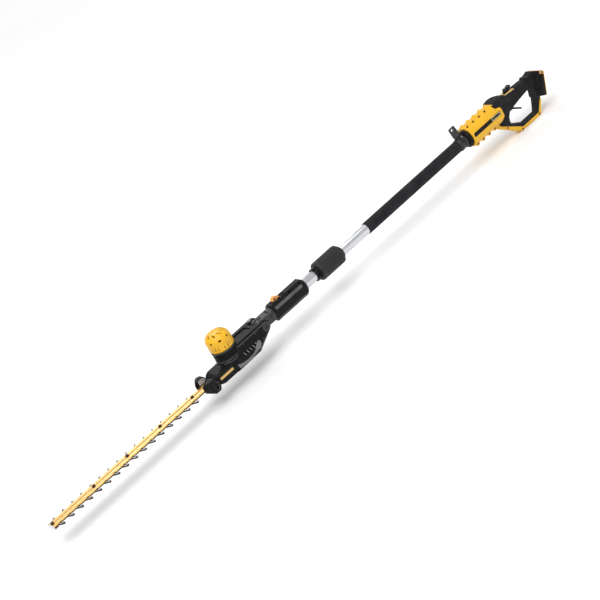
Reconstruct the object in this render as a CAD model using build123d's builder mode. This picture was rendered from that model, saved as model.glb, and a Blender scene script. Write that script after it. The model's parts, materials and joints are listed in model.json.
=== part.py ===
from build123d import *
import math
import os

os.makedirs("parts", exist_ok=True)

# ======================================================================== driving dimensions
# Millimetres. Stations (x, y, z) are counted from the tilt pivot, which lies on the pole's
# axis: +X runs back to the user, -Y is the tool's left side, +Z is up.
TIP_X = -794.0            # front of the tip guard
REAR_X = 1237.0           # rear corner of the battery dock
LOOP_Z = -101.0           # underside of the hand loop

RUN_GAP = 0.3             # gap between bodies that move past each other
PIN_FIT = 0.05            # radial play of a pin in its bore

# Cutting blades
TOOTH_PITCH = 32.4
TOOTH_COUNT = 16
FIRST_TOOTH_X = -773.6
TOOTH_TIP_Y = 32.0
BLADE_HALF_WIDTH = 13.0
BLADE_T = 2.3
BAR_TOP_Z = -27.5
BAR_BOTTOM_Z = -31.0
BAR_HALF_WIDTH = 16.5
UPPER_BLADE_Z = -33.6     # underside of the upper blade
LOWER_BLADE_Z = -36.2     # underside of the lower blade
BLADE_FRONT_X = -772.5
STROKE = TOOTH_PITCH / 2  # travel of each blade from end to end
BOLT_XS = [-276.5 - 121.2 * i for i in range(4)]
TIP_BOLT_X = -785.5
BAR_SCREW_X = -197.0      # screws that hold the bar to the gearcase
BAR_SCREW_Y = 9.0
BAR_SCREW_R = 2.05
BOLT_R = 2.55             # thread of a blade bolt
NUT_R = 5.2               # across the corners of a nut
NUT_H = 4.0
GUARD_INNER_Y = 18.5      # inner face of each guard ear
GUARD_OUTER_Y = 38.5

# Drive train in the head
GEAR_X = -151.5
MOTOR_X = -124.0
GEAR_TEETH = 44
PINION_TEETH = 11
GEAR_MODULE = 1.0
BACKLASH = 0.24
THROW = STROKE / 2
ECCENTRIC_R = 11.6
YOKE_PLAY = 1.9           # fore-and-aft play of each eccentric in its yoke window

# Motor, stacked on the gearcase
SHAFT_R = 3.95
MOTOR_BEARING_R = 11.0
RING_R = 36.0             # black ring under the cap
RING_TOP_Z = 26.0
CAP_R = 36.6
CAP_TOP_Z = 77.0
STATOR_R = 29.0
GEAR_SHAFT_R = 2.95
GEAR_BEARING_R = 9.5

# Head
CASE_HALF_WIDTH = 30.0
CASE_REAR_X = -97.0
HEAD_HALF_WIDTH = 36.0
CHEEK_INNER_Y = 16.5
KNUCKLE_R = 17.0
PIVOT_R = 5.0
PIVOT_HEAD_R = 12.0
CHEEK_CAP_AT = (-5, 25)
CHEEK_CAP_R = 7.4
DETENT_HALF_T = 3.0
PIN_R = 3.0               # lock pin
HEAD_SCREWS = [(-84, 6), (-38, 6), (-22, -22), (-102, -36)]
NOTCH_COUNT = 7
NOTCH_STEP = 30.0

# Pole
TUBE_R = 16.0
TUBE_WALL = 1.6
FRONT_TUBE_XS = (107.0, 300.0)
REAR_TUBE_XS = (304.5, 934.5)
SLEEVE_R = 18.0
SLEEVE_XS = (445.0, 855.0)
SPIGOT_R = 22.0
BARREL_XS = (54.5, 183.0)
BARREL_SCREW_XS = (126, 166)
BARREL_SCREW_Z = 21
COUPLING_R = 20.0
COUPLING_RIM_R = 24.0
COLLAR_R = 29.0
COLLAR_XS = (241.0, 330.0)
COLLAR_RIBS = 24
HANGER_X = 870.0
HANGER_T = 4.0
HANGER_SCREW_AT = (876, 20.4)
EYELET = (861.0, 52.0)
EYELET_R = 4.2
NOSE_XS = (885.0, 902.0)

# Handle. The seam parts the yellow housing and rim from the black grip, seen from the left.
HOUSING_R = 35.0
HOUSING_XS = (897.0, 1032.0)
HUMP_HALF_WIDTH = 25.0
GRIP_HALF_WIDTH = 17.0
LOOP_HALF_WIDTH = 13.0
DOCK_HALF_WIDTH = 31.0    # broad foot along the dock's rear face
DOCK_NECK_HALF_WIDTH = 17.0
SEAM = [(1016, 60), (1016, 36), (1013, 32), (1013, 24), (1031.5, 19), (1031.5, -8), (1023, -20),
        (1010, -28), (1018, -42), (1091, -90.5), (1166, -90.5), (1191, -58), (1300, -58), (1300, 60)]
HAND_LOOP = [(1071, -23), (1059, -36), (1055.5, -48), (1056, -57), (1107, -86), (1164, -86),
             (1181, -50), (1187, -20), (1173, -8), (1123, -14)]
DOCK = [(1168, -6), (1174, 26), (1190, 24), (1208, 28.5), (REAR_X, 12), (1210, -56), (1189, -52),
        (1168, -40)]
SHELL_BOSS_R = 6.5
TOP_SCREW_XS = [906.5 + 26.5 * i for i in range(4)]
TOP_SCREW_Z = 33.0
LOW_SCREW_XS = [905 + 26.2 * i for i in range(4)]
LOW_SCREW_Z = -24.5
# screw (x, z) with the depth of its head from the mid-plane
SHELL_SCREWS = ([(x, TOP_SCREW_Z, 11.5) for x in TOP_SCREW_XS]
                + [(x, LOW_SCREW_Z, 25) for x in LOW_SCREW_XS]
                + [(1037, 31, 20), (1082, 10, 15), (1156, 19, 12.5)]
                + [(1037, -59.5, 10.5), (1086, -95.7, 10.5), (1166, -95.7, 10.5)])
TRIGGER_PIVOT = (1078, -16)
TRIGGER_HALF_WIDTH = 5.0
LOCK_OFF_PIVOT = (1098, 14)
LEVER_HALF_WIDTH = 6.8
LEVER_GAP = (1085, 1115)
LEVER_PIN_R = 2.0
LEVER_PIN_REACH = 15.0    # half length of the lever pins
TERMINAL_XS = (-11, -4, 4, 11)
TERMINAL_T = 0.8
TERMINAL_WIDTH = 6.0

DATUM = Vector(-(TIP_X + REAR_X) / 2, 0, -LOOP_Z)
SIDE = Plane(origin=DATUM, x_dir=(1, 0, 0), z_dir=(0, -1, 0))
TOP = Plane(origin=DATUM, x_dir=(1, 0, 0), z_dir=(0, 0, 1))
ACROSS = Plane(origin=DATUM, x_dir=(0, 1, 0), z_dir=(1, 0, 0))

# Rear face of the dock: local x across the tool, local y into the dock, local z up along the face.
DOCK_BOTTOM = Vector(1210, 0, -56)
DOCK_TOP = Vector(REAR_X, 0, 12)
DOCK_LENGTH = (DOCK_TOP - DOCK_BOTTOM).length
DOCK_FACE = Plane(origin=DATUM + DOCK_BOTTOM, x_dir=(0, 1, 0), z_dir=(DOCK_TOP - DOCK_BOTTOM).normalized())


# ======================================================================== shared shapes
def save(piece, name):
    """Label a finished piece and write its STEP file."""
    piece.part.label = name
    export_step(piece.part, f"parts/{name}.step")


def rod(plane, centre, radius, length, mode=Mode.ADD, both=False):
    """Round bar from the plane, at a centre given on that plane."""
    with BuildSketch(plane) as face:
        with Locations(centre):
            Circle(radius)
    extrude(face.sketch, amount=length, both=both, mode=mode)


def ring(plane, centre, outer_r, inner_r, length, both=False):
    """Round tube from the plane."""
    with BuildSketch(plane) as face:
        with Locations(centre):
            Circle(outer_r)
            Circle(inner_r, mode=Mode.SUBTRACT)
    extrude(face.sketch, amount=length, both=both)


def plate(plane, points, length, corner=0.0, mode=Mode.ADD, both=False):
    """Prism over a closed outline, with its corners rounded."""
    with BuildSketch(plane) as face:
        with BuildLine():
            Polyline(*points, close=True)
        make_face()
        if corner:
            fillet(face.vertices(), corner)
    extrude(face.sketch, amount=length, both=both, mode=mode)


def block(plane, centre, size, length, corner=0.0, mode=Mode.ADD, both=False):
    """Prism over a rectangle, with its corners rounded."""
    with BuildSketch(plane) as face:
        with Locations(centre):
            if corner:
                RectangleRounded(size[0], size[1], corner)
            else:
                Rectangle(size[0], size[1])
    extrude(face.sketch, amount=length, both=both, mode=mode)


# ======================================================================== blades
def tooth_outline(x, side):
    """One hooked tooth that leans back towards the head, on side +1 or -1."""
    outline = [(-9, 10), (-2, 21), (3, TOOTH_TIP_Y - 2), (7, TOOTH_TIP_Y), (10, 28), (7, 22), (9, 10)]
    return [(x + dx, side * dy) for dx, dy in outline]


def blade(underside_z, name):
    """Toothed blade with slots for the bolts and a window for its eccentric."""
    yoke_x = ECCENTRIC_R + YOKE_PLAY + 5
    window_y = 2 * (ECCENTRIC_R + THROW + RUN_GAP)
    with BuildPart() as piece:
        plane = TOP.offset(underside_z)
        length = GEAR_X - BLADE_FRONT_X
        block(plane, (BLADE_FRONT_X + length / 2, 0), (length, 2 * BLADE_HALF_WIDTH), BLADE_T)
        for i in range(TOOTH_COUNT):
            for side in (-1, 1):
                plate(plane, tooth_outline(FIRST_TOOTH_X + i * TOOTH_PITCH, side), BLADE_T)
        block(plane, (GEAR_X, 0), (2 * yoke_x, 2 * (BLADE_HALF_WIDTH + 10)), BLADE_T, corner=4)
        window_x = 2 * (ECCENTRIC_R + YOKE_PLAY)
        block(plane, (GEAR_X, 0), (window_x, window_y), BLADE_T, corner=1, mode=Mode.SUBTRACT)
        for x in BOLT_XS:
            with BuildSketch(plane):
                with Locations((x, 0)):
                    SlotOverall(STROKE + 8, 6.8)
            extrude(amount=BLADE_T, mode=Mode.SUBTRACT)
    save(piece, name)


def blade_bar():
    """Support bar above the blades, with a shallow channel along its middle."""
    with BuildPart() as piece:
        front_x = TIP_X + 3
        rear_x = -187.0
        with BuildSketch(ACROSS.offset(front_x)):
            with BuildLine():
                Polyline(
                    (-BAR_HALF_WIDTH, BAR_BOTTOM_Z), (BAR_HALF_WIDTH, BAR_BOTTOM_Z),
                    (BAR_HALF_WIDTH, BAR_TOP_Z - 1.2), (BAR_HALF_WIDTH - 4, BAR_TOP_Z),
                    (4.5, BAR_TOP_Z), (2.5, BAR_TOP_Z - 1.5),
                    (-2.5, BAR_TOP_Z - 1.5), (-4.5, BAR_TOP_Z),
                    (4 - BAR_HALF_WIDTH, BAR_TOP_Z), (-BAR_HALF_WIDTH, BAR_TOP_Z - 1.2),
                    close=True,
                )
            make_face()
        extrude(amount=rear_x - front_x)
        for x in BOLT_XS:
            rod(TOP.offset(BAR_BOTTOM_Z), (x, 0), BOLT_R + PIN_FIT, 5, mode=Mode.SUBTRACT)
        rod(TOP.offset(BAR_BOTTOM_Z), (TIP_BOLT_X, 0), BAR_SCREW_R, 5, mode=Mode.SUBTRACT)
        for y in (-BAR_SCREW_Y, BAR_SCREW_Y):
            rod(TOP.offset(BAR_BOTTOM_Z), (BAR_SCREW_X, y), BAR_SCREW_R + PIN_FIT, 5, mode=Mode.SUBTRACT)
    save(piece, "blade_bar")


def blade_bolts():
    """Shouldered bolts from below, with a nut on the bar; one group of equal pieces."""
    with BuildPart() as piece:
        for x in BOLT_XS:
            rod(TOP.offset(LOWER_BLADE_Z - RUN_GAP - 2.5), (x, 0), 6.5, 2.5)
            rod(TOP.offset(LOWER_BLADE_Z - RUN_GAP), (x, 0), 3.1, BAR_BOTTOM_Z - LOWER_BLADE_Z + RUN_GAP)
            rod(TOP.offset(BAR_BOTTOM_Z), (x, 0), BOLT_R, 9)
            with BuildSketch(TOP.offset(BAR_TOP_Z)):
                with Locations((x, 0)):
                    RegularPolygon(NUT_R, 6)
            extrude(amount=NUT_H)
    save(piece, "blade_bolts")


def tip_guard():
    """Bright folded end piece that closes the blades' front, with its own screw."""
    with BuildPart() as piece:
        under_z = LOWER_BLADE_Z - 3
        plate(
            SIDE,
            [
                (TIP_X, under_z), (TIP_X + 14, under_z), (TIP_X + 14, under_z + 2),
                (TIP_X + 2.4, under_z + 2), (TIP_X + 2.4, BAR_TOP_Z + 0.6), (TIP_X, BAR_TOP_Z + 0.6),
            ],
            BAR_HALF_WIDTH, both=True,
        )
        rod(TOP.offset(under_z + 2), (TIP_BOLT_X, 0), 4, BAR_BOTTOM_Z - under_z - 2)
        rod(TOP.offset(under_z), (TIP_BOLT_X, 0), BAR_SCREW_R, 12, mode=Mode.SUBTRACT)
    save(piece, "tip_guard")


def blade_guard():
    """Guard at the blades' root: two ears and the bridge that joins them underneath."""
    ear = [(-249, -20), (-236, -12), (-222, -9), (-211, -12), (-202.5, -24), (-202.5, -43), (-209, -51),
           (-225, -51), (-252, -33)]
    with BuildPart() as piece:
        for side in (1, -1):
            plate(SIDE.offset(side * GUARD_INNER_Y), ear, side * (GUARD_OUTER_Y - GUARD_INNER_Y), corner=3)
        outer = piece.edges().filter_by(lambda e: abs(abs(e.center().Y) - GUARD_OUTER_Y) < 0.01)
        chamfer(outer, 2)
        for side in (1, -1):
            # each ear sweeps back from its inner front corner
            front = [(-262, side * 10), (-246, side * 18), (-224, side * 42), (-262, side * 42)]
            plate(TOP.offset(-60), front, 60, mode=Mode.SUBTRACT)
        block(TOP.offset(-51), (-214, 0), (20, 60), 8)
        block(TOP.offset(-43.2), (-208, 0), (14, 34.2), 21, mode=Mode.SUBTRACT)
        for side in (1, -1):
            plane = SIDE.offset(side * 34)
            plate(plane, [(-221, -16), (-209, -22), (-209, -41), (-215, -45), (-221, -43)],
                  side * 5, corner=2, mode=Mode.SUBTRACT)
    save(piece, "blade_guard")


# ======================================================================== drive train
def gear_outline(teeth, centre):
    """Involute gear outline with a tooth pointing along +X."""
    pitch_r = GEAR_MODULE * teeth / 2
    base_r = pitch_r * math.cos(math.radians(20))
    tip_r = pitch_r + 0.85 * GEAR_MODULE
    root_r = pitch_r - 1.2 * GEAR_MODULE
    inv20 = math.tan(math.radians(20)) - math.radians(20)
    half = (math.pi * GEAR_MODULE / 2 - BACKLASH / 2) / (2 * pitch_r) + inv20

    def flank(radius):
        angle = math.acos(min(1.0, base_r / radius))
        return half - (math.tan(angle) - angle)

    radii = [root_r] + [max(base_r, root_r + 0.01) + (tip_r - max(base_r, root_r + 0.01)) * k / 3
                        for k in range(4)]
    points = []
    for i in range(teeth):
        middle = 2 * math.pi * i / teeth
        for r in radii:
            turn = middle - flank(r)
            points.append((centre + r * math.cos(turn), r * math.sin(turn)))
        for r in reversed(radii):
            turn = middle + flank(r)
            points.append((centre + r * math.cos(turn), r * math.sin(turn)))
    return points


def drive_gear():
    """Big gear with two opposed eccentrics under it, on one short shaft."""
    with BuildPart() as piece:
        plate(TOP.offset(-30.7), gear_outline(GEAR_TEETH, GEAR_X), 6)
        rod(TOP.offset(UPPER_BLADE_Z), (GEAR_X, THROW), ECCENTRIC_R, 2.9)
        rod(TOP.offset(LOWER_BLADE_Z), (GEAR_X, -THROW), ECCENTRIC_R, BLADE_T)
        rod(TOP.offset(-43.4), (GEAR_X, 0), GEAR_SHAFT_R, 27.2)
        rod(TOP.offset(-24.7), (GEAR_X, 0), 5, 1.6)
        for i in range(5):
            turn = math.radians(72 * i + 36)
            spot = (GEAR_X + 13 * math.cos(turn), 13 * math.sin(turn))
            rod(TOP.offset(-26.7), spot, 4.5, 3, mode=Mode.SUBTRACT)
    save(piece, "drive_gear")


def rotor():
    """Motor shaft with its pinion and laminated rotor core."""
    with BuildPart() as piece:
        plate(TOP.offset(-30.6), gear_outline(PINION_TEETH, MOTOR_X), 7)
        rod(TOP.offset(-23.6), (MOTOR_X, 0), SHAFT_R, 92)
        rod(TOP.offset(11), (MOTOR_X, 0), 17, 24)
        rod(TOP.offset(35), (MOTOR_X, 0), 10, 3)
    save(piece, "rotor")


def fan():
    """Cooling fan pressed on the motor shaft."""
    with BuildPart() as piece:
        ring(TOP.offset(41), (MOTOR_X, 0), 7, SHAFT_R, 10)
        ring(TOP.offset(41), (MOTOR_X, 0), 26, 6, 1.6)
        for i in range(9):
            turn = math.radians(40 * i)
            middle = (MOTOR_X + 15.5 * math.cos(turn), 15.5 * math.sin(turn))
            with BuildSketch(TOP.offset(42)) as vane:
                with Locations(Location((middle[0], middle[1], 0), (0, 0, 40 * i + 18))):
                    Rectangle(17, 1.5)
            extrude(vane.sketch, amount=8)
    save(piece, "fan")


def stator():
    """Laminated ring with inward poles round the rotor."""
    with BuildPart() as piece:
        ring(TOP.offset(9), (MOTOR_X, 0), STATOR_R, 24, 28)
        for i in range(6):
            turn = math.radians(60 * i)
            with BuildSketch(TOP.offset(9)) as pole:
                with Locations(Location((MOTOR_X + 21.4 * math.cos(turn), 21.4 * math.sin(turn), 0),
                                        (0, 0, 60 * i))):
                    Rectangle(7, 6)
            extrude(pole.sketch, amount=28)
            with BuildSketch(TOP.offset(9)) as shoe:
                with Locations(Location((MOTOR_X + 18.9 * math.cos(turn), 18.9 * math.sin(turn), 0),
                                        (0, 0, 60 * i))):
                    Rectangle(1.8, 13)
            extrude(shoe.sketch, amount=28)
        rod(TOP.offset(8), (MOTOR_X, 0), 17.5, 30, mode=Mode.SUBTRACT)
    save(piece, "stator")


def ball_bearings():
    """The four bearings of the gear shaft and the motor shaft, as one group of pieces."""
    gear_bore_r = GEAR_SHAFT_R + PIN_FIT
    motor_bore_r = SHAFT_R + PIN_FIT
    seats = [(GEAR_X, -43.5, GEAR_BEARING_R, gear_bore_r, 5),
             (GEAR_X, -22.0, GEAR_BEARING_R, gear_bore_r, 5),
             (MOTOR_X, 0.0, MOTOR_BEARING_R, motor_bore_r, 7),
             (MOTOR_X, 60.0, MOTOR_BEARING_R, motor_bore_r, 7)]
    with BuildPart() as piece:
        for x, z, outer_r, inner_r, width in seats:
            ring(TOP.offset(z), (x, 0), outer_r, inner_r, width)
            ring_r = (outer_r + inner_r) / 2
            with BuildSketch(TOP.offset(z + width)) as groove:
                with Locations((x, 0)):
                    Circle(ring_r + 1.2)
                    Circle(ring_r - 1.2, mode=Mode.SUBTRACT)
            extrude(groove.sketch, amount=-0.6, mode=Mode.SUBTRACT)
    save(piece, "ball_bearings")


# ======================================================================== head
def gearcase():
    """Cast front of the head: it holds the bar, the gear and the motor's flange."""
    case_top = [(-202.2, -42), (-202.2, -20), (-192, -14), (-160, -7), (CASE_REAR_X, -7),
                (CASE_REAR_X, -44), (-192, -44)]
    with BuildPart() as piece:
        plate(SIDE, case_top, CASE_HALF_WIDTH, both=True)
        long_edges = piece.edges().filter_by(
            lambda e: abs(abs(e.center().Y) - CASE_HALF_WIDTH) < 0.01 and e.center().Z > DATUM.Z - 30)
        chamfer(long_edges, 4)
        for side in (1, -1):
            # broad slope beside the narrow flat top
            plate(ACROSS.offset(-205), [(side * 31, -16), (side * 31, 0), (side * 14, 0), (side * 14, -6.6)],
                  205 + CASE_REAR_X, mode=Mode.SUBTRACT)
            plate(TOP.offset(-50), [(-204, side * 31), (-204, side * 24), (-184, side * 31)], 45,
                  mode=Mode.SUBTRACT)
        rod(TOP.offset(-20), (MOTOR_X, 0), RING_R, 18)
        block(TOP.offset(-42), (-207, 0), (12, 34), 19)
        # cavity for the gear, the yokes and the eccentrics, open underneath
        block(TOP.offset(-44), (-150.5, 0), (71, 51), 22, corner=5, mode=Mode.SUBTRACT)
        # slots for the blades and for the bar
        block(TOP.offset(-42.1), (-200, 0), (30, 2 * BLADE_HALF_WIDTH + 0.8), 11.1, mode=Mode.SUBTRACT)
        block(TOP.offset(BAR_BOTTOM_Z), (-200, 0), (26.2, 2 * BAR_HALF_WIDTH), 3.5, mode=Mode.SUBTRACT)
        rod(TOP.offset(-23), (GEAR_X, 0), GEAR_BEARING_R, 6, mode=Mode.SUBTRACT)
        rod(TOP.offset(-23), (GEAR_X, 0), 6, 7.5, mode=Mode.SUBTRACT)
        rod(TOP.offset(-23), (MOTOR_X, 0), 7.4, 25, mode=Mode.SUBTRACT)
        for y in (-BAR_SCREW_Y, BAR_SCREW_Y):
            rod(TOP.offset(-28), (BAR_SCREW_X, y), BAR_SCREW_R, 6, mode=Mode.SUBTRACT)
    save(piece, "gearcase")


def gearcase_cover():
    """Plate that closes the gearcase from below, with the lower bearing's seat."""
    with BuildPart() as piece:
        plate(TOP.offset(-49), [(-195, -18), (-184, -30), (CASE_REAR_X, -30), (CASE_REAR_X, 30),
                                 (-184, 30), (-195, 18)], 5, corner=3)
        chamfer(piece.faces().sort_by(Axis.Z)[0].edges(), 2)
        rod(TOP.offset(-44), (GEAR_X, 0), 12, 5.5)
        rod(TOP.offset(-43.5), (GEAR_X, 0), GEAR_BEARING_R, 6, mode=Mode.SUBTRACT)
        rod(TOP.offset(-43.9), (GEAR_X, 0), 5, 1, mode=Mode.SUBTRACT)
        for x in (-176, -104):
            for y in (-25, 25):
                rod(TOP.offset(-49), (x, y), 3.2, 1.6, mode=Mode.SUBTRACT)
    save(piece, "gearcase_cover")


def motor_housing():
    """Black ring over the gearcase's flange that carries the stator and the lower bearing."""
    with BuildPart() as piece:
        rod(TOP.offset(-2), (MOTOR_X, 0), RING_R, RING_TOP_Z + 2)
        rod(TOP.offset(8), (MOTOR_X, 0), STATOR_R + 0.2, RING_TOP_Z, mode=Mode.SUBTRACT)
        rod(TOP.offset(0), (MOTOR_X, 0), MOTOR_BEARING_R, 9, mode=Mode.SUBTRACT)
        rod(TOP.offset(-2), (MOTOR_X, 0), 7.4, 3, mode=Mode.SUBTRACT)
        rod(TOP.offset(RING_TOP_Z - 2.5), (MOTOR_X, 0), 31, 3, mode=Mode.SUBTRACT)
        for z in (4, 10, 16):
            with BuildSketch(TOP.offset(z)) as groove:
                with Locations((MOTOR_X, 0)):
                    Circle(RING_R + 1)
                    Circle(RING_R - 1, mode=Mode.SUBTRACT)
            extrude(groove.sketch, amount=2, mode=Mode.SUBTRACT)
    save(piece, "motor_housing")


def motor_cap():
    """Domed yellow cap with slanted slots on top and small windows round its shoulder."""
    with BuildPart() as piece:
        with BuildSketch(Plane(origin=DATUM + Vector(MOTOR_X, 0, 0), x_dir=(1, 0, 0), z_dir=(0, -1, 0))):
            with BuildLine():
                Polyline((0, CAP_TOP_Z), (12, CAP_TOP_Z - 0.5), (21, 74.8), (28, 71), (33.5, 65),
                         (36.3, 58), (CAP_R, 51), (CAP_R, 29.5), (34, RING_TOP_Z), (31.5, RING_TOP_Z),
                         (31.5, 57), (26, 66.5), (14, 71.3), (14, 60), (MOTOR_BEARING_R, 60),
                         (MOTOR_BEARING_R, 67), (8, 67), (8, CAP_TOP_Z - 3.7),
                         (0, CAP_TOP_Z - 3.7), close=True)
            make_face()
        revolve(axis=Axis(DATUM + Vector(MOTOR_X, 0, 0), (0, 0, 1)))
        for i in range(8):
            turn = math.radians(45 * i)
            spot = (MOTOR_X + 22 * math.cos(turn), 22 * math.sin(turn), 0)
            with BuildSketch(TOP.offset(63)) as slot:
                with Locations(Location(spot, (0, 0, 45 * i + 40))):
                    SlotOverall(15, 4)
            extrude(slot.sketch, amount=16, mode=Mode.SUBTRACT)
            outward = (math.cos(turn + math.pi / 8), math.sin(turn + math.pi / 8), 0)
            window = Plane(origin=DATUM + Vector(MOTOR_X, 0, 58), x_dir=(0, 0, 1), z_dir=outward)
            with BuildSketch(window.offset(27)) as opening:
                RectangleRounded(6, 8, 1.2)
            extrude(opening.sketch, amount=12, mode=Mode.SUBTRACT)
        for i in range(24):
            turn = math.radians(15 * i)
            if i % 4:
                slit = Plane(origin=DATUM + Vector(MOTOR_X, 0, 36.5), x_dir=(0, 0, 1),
                             z_dir=(math.cos(turn), math.sin(turn), 0))
                with BuildSketch(slit.offset(30)) as cut:
                    SlotOverall(9, 2)
                extrude(cut.sketch, amount=8, mode=Mode.SUBTRACT)
    save(piece, "motor_cap")


def head_shell(side):
    """Half of the head's rear body, ending in one cheek of the tilt joint."""
    with BuildPart() as piece:
        with BuildSketch(SIDE):
            with BuildLine():
                Polyline((0, 19), (-12, 18), (-112, 18), (-112, -17), (-128, -20), (-136, -29),
                         (-134, -49), (-46, -47), (9.15, -16.65))
                ThreePointArc((9.15, -16.65), (19, 0), (0, 19))
            make_face()
        extrude(amount=side * HEAD_HALF_WIDTH)
        rim = piece.edges().filter_by(lambda e: abs(abs(e.center().Y) - HEAD_HALF_WIDTH) < 0.01)
        chamfer(rim, 5)
        # room for the motor ring and the rear of the gearcase
        rod(TOP.offset(-20.3), (MOTOR_X, 0), RING_R + 0.3, 45, mode=Mode.SUBTRACT)
        block(TOP.offset(-50), (-118.5, 0), (43.2, 60.4), 43.2, mode=Mode.SUBTRACT)
        # hollow behind the gearcase
        plate(SIDE, [(-84, -44), (-50, -42), (-32, -32), (-32, 12), (-84, 12)], side * 31.5,
              mode=Mode.SUBTRACT)
        # slot between the cheeks, open above and below so that the neck can swing
        block(SIDE, (2, -10), (48, 80), side * (CHEEK_INNER_Y + RUN_GAP), mode=Mode.SUBTRACT)
        # long recess on top
        block(TOP.offset(15), (-57, 0), (50, 34), 5, corner=9, mode=Mode.SUBTRACT)
        for i in range(4):
            plate(SIDE.offset(side * 30), [(-96 + 11 * i, -13), (-91 + 11 * i, -13), (-87 + 11 * i, -24),
                                           (-92 + 11 * i, -24)], side * 8, mode=Mode.SUBTRACT)
        rod(SIDE, (0, 0), PIVOT_R, side * 40, mode=Mode.SUBTRACT)
        rod(SIDE.offset(side * 34.5), (0, 0), PIVOT_HEAD_R + 0.2, side * 3, mode=Mode.SUBTRACT)
        for x, z in HEAD_SCREWS:
            rod(SIDE.offset(side * 33), (x, z), 3.4, side * 4, mode=Mode.SUBTRACT)
            rod(SIDE.offset(side * 21), (x, z), 1.6, side * 13, mode=Mode.SUBTRACT)
        if side < 0:
            rod(TOP.offset(15), CHEEK_CAP_AT, CHEEK_CAP_R + 0.1, 6, mode=Mode.SUBTRACT)
    save(piece, "head_shell_left" if side > 0 else "head_shell_right")


def head_screws():
    """Screws of the head shells, left and right, as one group of equal pieces."""
    with BuildPart() as piece:
        for side in (1, -1):
            for x, z in HEAD_SCREWS:
                rod(SIDE.offset(side * 33), (x, z), 3.3, side * 1.8)
                reach = 2.5 if x < -97 else 11
                rod(SIDE.offset(side * 33), (x, z), 1.6, -side * reach)
    save(piece, "head_screws")


def bar_screws():
    """Screws that hold the bar: two to the gearcase and one to the tip guard."""
    with BuildPart() as piece:
        for y in (-BAR_SCREW_Y, BAR_SCREW_Y):
            rod(TOP.offset(BAR_BOTTOM_Z), (BAR_SCREW_X, y), BAR_SCREW_R, 8.5)
        rod(TOP.offset(LOWER_BLADE_Z - 3), (TIP_BOLT_X, 0), BAR_SCREW_R, 14)
        with BuildSketch(TOP.offset(BAR_TOP_Z)):
            with Locations((TIP_BOLT_X, 0)):
                RegularPolygon(NUT_R, 6)
        extrude(amount=NUT_H)
    save(piece, "bar_screws")


def side_bands():
    """Pale curved bands low on both sides of the head."""
    with BuildPart() as piece:
        for side in (1, -1):
            with BuildSketch(SIDE.offset(side * HEAD_HALF_WIDTH)) as band:
                with BuildLine():
                    ThreePointArc((-130, -28), (-90, -36.5), (-50, -25))
                    Line((-50, -25), (-54, -37))
                    ThreePointArc((-54, -37), (-90, -43), (-128, -41))
                    Line((-128, -41), (-130, -28))
                make_face()
            extrude(band.sketch, amount=side * 1.2)
    save(piece, "side_bands")


def pivot_bolt():
    """Bolt through both cheeks and the knuckle."""
    with BuildPart() as piece:
        rod(SIDE, (0, 0), PIVOT_R, HEAD_HALF_WIDTH, both=True)
        for side in (1, -1):
            rod(SIDE.offset(side * 34.5), (0, 0), PIVOT_HEAD_R, side * 3.5)
            with BuildSketch(SIDE.offset(side * 36.5)) as socket:
                RegularPolygon(5, 6)
            extrude(socket.sketch, amount=side * 2, mode=Mode.SUBTRACT)
    save(piece, "pivot_bolt")


def cheek_cap():
    """Round grey cap on top of the right cheek."""
    with BuildPart() as piece:
        rod(TOP.offset(15), CHEEK_CAP_AT, CHEEK_CAP_R, 4.2)
        chamfer(piece.faces().sort_by(Axis.Z)[-1].edges(), 0.8)
    save(piece, "cheek_cap")


def detent_plate():
    """Plate fixed in the head, with a notch for every tilt position on its rear rim."""
    with BuildPart() as piece:
        rod(SIDE, (0, 0), 14, DETENT_HALF_T, both=True)
        plate(SIDE, [(-21.9, -8), (0, -8), (0, 8), (-21.9, 8)], DETENT_HALF_T, both=True)
        for i in range(NOTCH_COUNT):
            turn = math.radians(NOTCH_STEP * (i - (NOTCH_COUNT - 1) / 2))
            rod(SIDE.offset(-4), (13.4 * math.cos(turn), 13.4 * math.sin(turn)), 2.6, 8,
                mode=Mode.SUBTRACT)
        rod(SIDE.offset(-4), (0, 0), PIVOT_R, 8, mode=Mode.SUBTRACT)
    save(piece, "detent_plate")


# ======================================================================== tilt joint and front pole
def tilt_knuckle():
    """Knuckle between the cheeks, with the neck and the spigot that fills the barrel's front."""
    with BuildPart() as piece:
        rod(SIDE, (0, 0), KNUCKLE_R, CHEEK_INNER_Y, both=True)
        block(SIDE, (27, 0), (54, 30), CHEEK_INNER_Y, both=True)
        rod(ACROSS.offset(40), (0, 0), 19, 14.5)
        rod(ACROSS.offset(BARREL_XS[0]), (0, 0), SPIGOT_R, 52)
        rod(SIDE, (0, 0), PIVOT_R + PIN_FIT, 20, mode=Mode.SUBTRACT, both=True)
        # slot for the detent plate
        block(SIDE, (-2, 0), (40, 40), DETENT_HALF_T + RUN_GAP, mode=Mode.SUBTRACT, both=True)
        # bore for the lock pin, slot for the button's leg, pocket for the spring
        rod(ACROSS.offset(10), (0, 0), PIN_R + PIN_FIT, 90, mode=Mode.SUBTRACT)
        block(TOP.offset(-4), (88, 0), (23, 9), 30, mode=Mode.SUBTRACT)
        rod(ACROSS.offset(99), (0, 0), 4.8, 6, mode=Mode.SUBTRACT)
    save(piece, "tilt_knuckle")


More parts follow.
